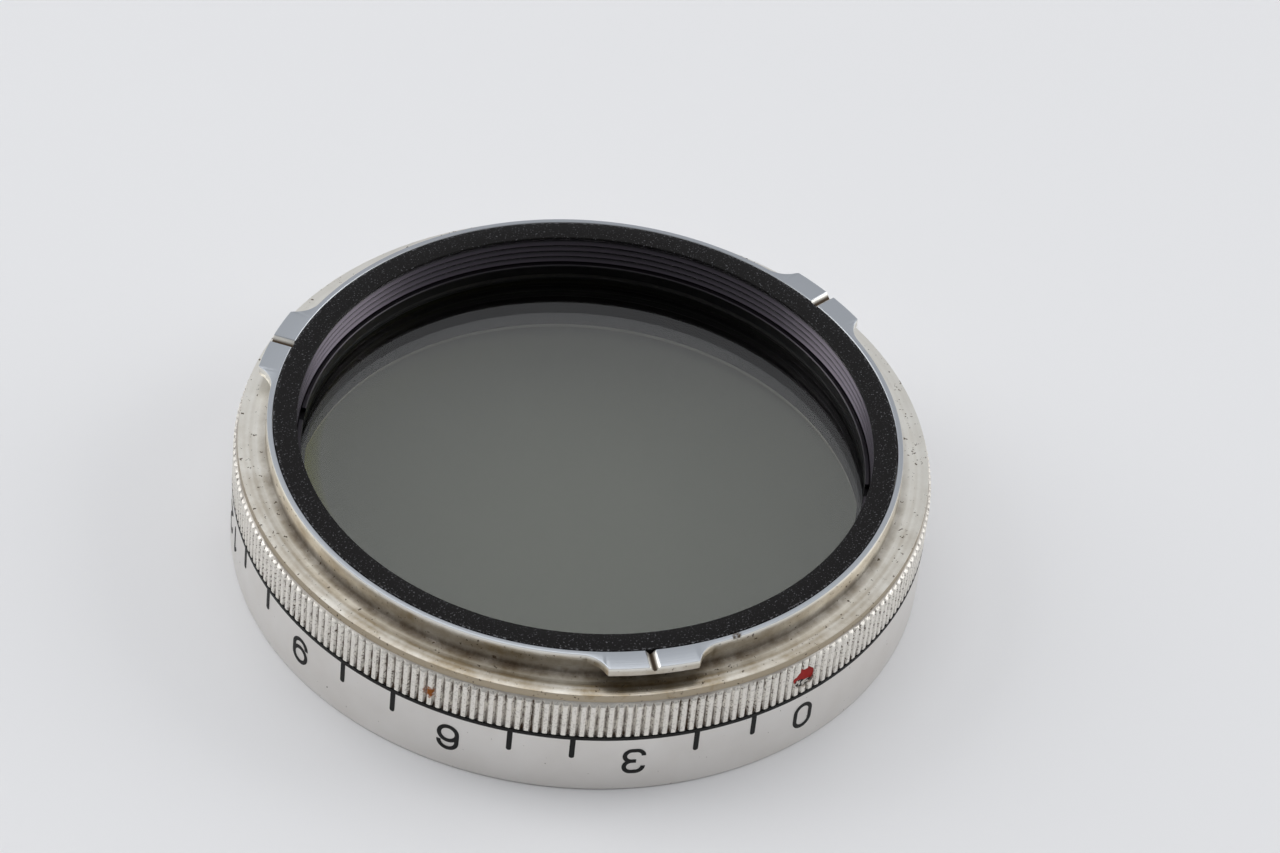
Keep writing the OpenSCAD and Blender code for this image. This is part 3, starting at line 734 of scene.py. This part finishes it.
cell_section = (rounded([(THROAT_R, CELL_Z), (TUBE_R, CELL_Z), (TUBE_R, CELL_FLANGE_Z),
                         (CELL_FLANGE_R, CELL_FLANGE_Z), (CELL_FLANGE_R, TOP), (THROAT_R, TOP, 0.12)], 0.06)
                + thread_section()
                + [(THROAT_R, RETAINER_Z - 0.05), (POCKET_R, RETAINER_Z - 0.05), (POCKET_R, SEAT_Z),
                   (SEAT_R, SEAT_Z), (SEAT_R, SEAT_BASE), (THROAT_R, SEAT_BASE)])
cell = lathe("black_cell", cell_section, BLACK, sharp=28)

scale_ring = lathe("scale_ring_turned",
                   rounded([(OUTER_R - FRONT_RIM_W, 0), (SKIN_R, 0, 0.2), (SKIN_R, LINE_Z, 0),
                            (ENGRAVE_R, LINE_Z, 0), (ENGRAVE_R, RING_TOP, 0),
                            (TUBE_R, RING_TOP), (TUBE_R, CELL_Z), (LIP_R, CELL_Z), (LIP_R, CELL_Z * 0.8)], 0.06),
                   SATIN)
line = lathe("scale_line_enamel",
             rounded([(ENGRAVE_R, LINE_Z), (OUTER_R, LINE_Z), (OUTER_R, RING_TOP), (ENGRAVE_R, RING_TOP)], 0.03),
             ENAMEL)


def retainer_columns():
    """Directions round the retaining ring, with two slots for a spanner."""
    edge = 0.05
    outer, top = THROAT_R - 0.02, RETAINER_Z + RETAINER_H
    full = [(RETAINER_R, RETAINER_Z), (outer, RETAINER_Z), (outer, top - edge), (outer - edge, top),
            (RETAINER_R + edge, top), (RETAINER_R, top - edge)]
    low = [(r, min(z, RETAINER_Z + RETAINER_H / 2)) for r, z in full]
    columns = []
    half = SPANNER_W / 2
    for side in (INDEX_ANGLE + SPANNER_LEAD, INDEX_ANGLE + SPANNER_LEAD + 180):
        for s, section in ((-half, full), (-half + 0.001, low), (0, low), (half - 0.001, low), (half, full)):
            columns.append((side, s, section))
        for k in range(1, 90):
            columns.append((side + 2.2 + (180 - 4.4) * k / 90, 0, full))
    return columns


retainer = swept("threaded_retaining_ring", retainer_columns(), BLACK)
gap = 0.01
front_glass = disc("front_glass_pane", GLASS_R, SEAT_Z, FILM_Z - gap, 0.08, GLASS)
film = disc("polarising_film_sheet", FILM_R, FILM_Z, REAR_GLASS_Z, 0.01, FILM)
rear_glass = disc("rear_glass_pane", GLASS_R, REAR_GLASS_Z + gap, RETAINER_Z, 0.08, GLASS)
for pane in (front_glass, rear_glass):      # the ground edges are painted black
    pane.data.materials.append(ENAMEL)
    for face in pane.data.polygons:
        if abs(face.normal.z) < 0.9:
            face.material_index = 1
for piece, node in ((cell, "filter_cell"), (scale_ring, "scale_ring"), (line, "scale_line"),
                    (retainer, "retaining_ring"), (front_glass, "front_glass"),
                    (film, "polarising_film"), (rear_glass, "rear_glass")):
    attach(piece, "filter")
    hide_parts(node)
for name in ("scale_ticks", "scale_numerals"):
    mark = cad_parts[name]
    mark.data.materials.clear()
    mark.data.materials.append(ENAMEL)


# ---- Table, light and camera ----

HEADING = -43.0          # the camera looks along +Y turned by this many degrees


def table_top():
    """A white laminate table."""
    material, tree = new_material("white_laminate")
    coords = add(tree, "ShaderNodeTexCoord").outputs["Object"]
    cloud = add(tree, "ShaderNodeTexNoise", {"Vector": coords, "Scale": 30.0, "Detail": 3.0})
    rough = add(tree, "ShaderNodeMapRange", {0: cloud, 1: 0.3, 2: 0.7, 3: 0.45, 4: 0.6})
    put_out(tree, add(tree, "ShaderNodeBsdfPrincipled",
                      {"Base Color": linear("#e9e9ea"), "Roughness": rough}))
    mesh = bpy.data.meshes.new("table")
    size = 3.0
    corners = [(-size, -size, 0), (size, -size, 0), (size, size, 0), (-size, size, 0)]
    mesh.from_pydata(corners, [], [(0, 1, 2, 3)])
    mesh.materials.append(material)
    floor = bpy.data.objects.new("table", mesh)
    bpy.context.scene.collection.objects.link(floor)


def area_light(name, place_mm, size, power, target=(0, 0, 5)):
    lamp = bpy.data.lights.new(name, "AREA")
    lamp.shape = "RECTANGLE"
    lamp.size, lamp.size_y = size
    lamp.energy = power
    made = bpy.data.objects.new(name, lamp)
    bpy.context.scene.collection.objects.link(made)
    made.location = Vector(place_mm) * MM
    aim = Vector(target) * MM - made.location
    made.rotation_euler = aim.to_track_quat("-Z", "Y").to_euler()


def turned_to_view(right, away, up):
    """A place given in the camera's heading (right, away, up), in the frame's axes."""
    a = math.radians(HEADING)
    return (right * math.cos(a) - away * math.sin(a), right * math.sin(a) + away * math.cos(a), up)


table_top()
area_light("softbox_above", turned_to_view(-100, 20, 900), (0.8, 0.8), 2.0)
area_light("softbox_left", turned_to_view(-750, 150, 450), (0.5, 0.7), 2.2)
area_light("softbox_right", turned_to_view(750, 250, 400), (0.5, 0.6), 2.0)

world = bpy.data.worlds.new("studio")
bpy.context.scene.world = world
world.use_nodes = True
world.node_tree.nodes.clear()
way = add(world.node_tree, "ShaderNodeTexCoord").outputs["Generated"]
front = add(world.node_tree, "ShaderNodeVectorMath", {0: way, 1: turned_to_view(0, -1, 0)},
            operation="DOT_PRODUCT")
strength = add(world.node_tree, "ShaderNodeMapRange",
               {0: front.outputs["Value"], 1: -0.1, 2: 0.8, 3: 0.71, 4: 0.2})
sky = add(world.node_tree, "ShaderNodeBackground", {"Color": linear("#f3f5f9"), "Strength": strength})
add(world.node_tree, "ShaderNodeOutputWorld", {"Surface": sky})
bpy.context.scene.view_settings.view_transform = "Standard"


def set_camera():
    """A long lens, looking down at the bayonet, with the camera rolled a little."""
    elevation, roll = math.radians(42.712), math.radians(6.388)
    se, ce = math.sin(elevation), math.cos(elevation)
    right = Vector(turned_to_view(1, 0, 0))
    down = Vector(turned_to_view(0, -se, -ce))
    ahead = Vector(turned_to_view(0, ce, -se))
    right, down = (right * math.cos(roll) - down * math.sin(roll),
                   right * math.sin(roll) + down * math.cos(roll))
    spot = Vector((0, 0, TOP)) + right * 3.5807 - down * 0.0617 - ahead * 348.48
    lens = bpy.data.cameras.new("camera")
    lens.lens = 146.48
    lens.sensor_width = 36
    lens.clip_start = 0.01
    made = bpy.data.objects.new("camera", lens)
    bpy.context.scene.collection.objects.link(made)
    turn = Matrix((right, -down, -ahead)).transposed().to_4x4()
    made.matrix_world = Matrix.Translation(spot * MM) @ turn
    bpy.context.scene.camera = made


set_camera()
